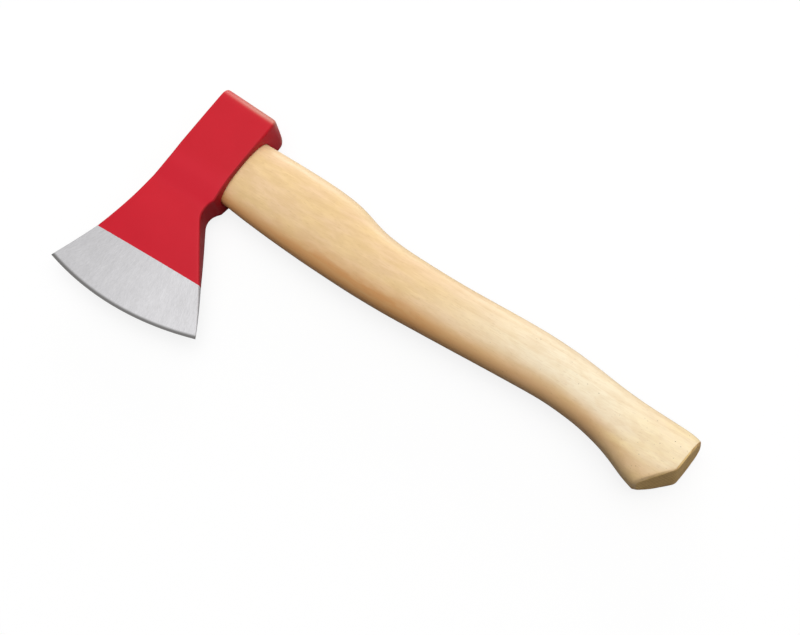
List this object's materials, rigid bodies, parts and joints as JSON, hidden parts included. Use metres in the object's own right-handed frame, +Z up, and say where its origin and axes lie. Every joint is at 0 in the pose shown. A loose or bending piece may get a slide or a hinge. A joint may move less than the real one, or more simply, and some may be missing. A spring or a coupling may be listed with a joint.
{
  "type": "hatchet",
  "caption": "Small hatchet: red-painted forged head with a bare ground bit, wedged onto a curved pale wooden handle with a cut butt. For splitting kindling and light limbing.",
  "frame": {"origin": "bottom centre of the bounding box, with the hatchet lying on its side", "axes": "+X along the handle from the head to the butt, +Y from the cutting edge to the poll, +Z up through the thickness of the head"},
  "size_m": [0.3816, 0.1508, 0.027],
  "materials": {
    "head_paint": "smooth red enamel, with the bit ground bare",
    "handle_wood": "fine sanded, clear varnish",
    "wedge_wood": "sawn, oiled",
    "bare_steel": "bare, ground"
  },
  "bodies": {
    "root": {"axe_head": "head_paint", "handle": "handle_wood", "wood_wedge": "wedge_wood", "ring_wedge": "bare_steel"}
  },
  "joints": []
}
